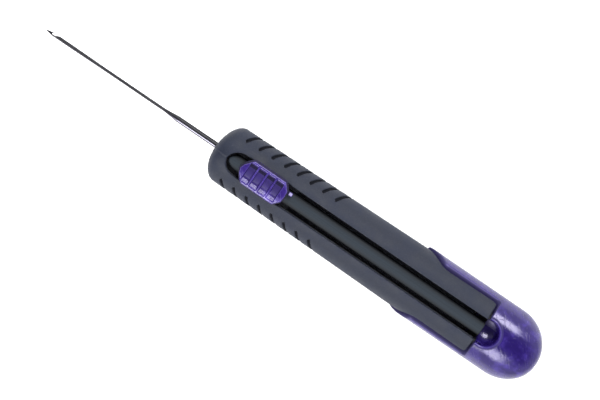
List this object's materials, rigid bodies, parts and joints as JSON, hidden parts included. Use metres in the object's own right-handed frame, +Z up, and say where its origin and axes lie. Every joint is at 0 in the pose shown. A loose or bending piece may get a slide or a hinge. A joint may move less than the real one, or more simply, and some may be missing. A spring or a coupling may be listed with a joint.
{
  "type": "needle threader",
  "caption": "Retractable hook needle threader: a fine barbed steel needle on a thumb slide, in a soft ribbed grip with a domed, cheeked end cap.",
  "frame": {"origin": "on the resting plane, under the middle of the whole tool with its needle out", "axes": "+Z up out of the face with the thumb slide; the needle points along -X and the rounded butt is at +X; +Y completes the right-handed frame"},
  "size_m": [0.1488, 0.0186, 0.0163],
  "materials": {
    "black_plastic": "satin moulded, hard black plastic",
    "soft_rubber": "soft matt rubber, fine texture",
    "dark_plastic": "satin moulded plastic",
    "purple_cap": "glossy, slightly translucent moulded plastic",
    "bush_steel": "turned steel",
    "purple_button": "glossy, slightly translucent moulded plastic",
    "carriage_acetal": "black low-friction plastic",
    "spring_steel": "rolled spring steel strip",
    "chuck_brass": "turned brass",
    "screw_steel": "black oxide steel",
    "needle_steel": "polished hardened steel"
  },
  "bodies": {
    "handle": {"core_tray": "black_plastic", "grip_sleeve": "soft_rubber", "guide_rail": "dark_plastic", "end_cap": "purple_cap", "nose_bush": "bush_steel"},
    "slider": {"slide_button": "purple_button", "slide_carriage": "carriage_acetal", "detent_spring": "spring_steel", "needle_chuck": "chuck_brass", "chuck_screw": "screw_steel", "hook_needle": "needle_steel"}
  },
  "joints": [
    {"name": "needle_slide", "type": "slide", "parent": "handle", "child": "slider", "axis": [1, 0, 0], "range_m": [0, 0.0538], "deforming": ["detent_spring"]}
  ]
}
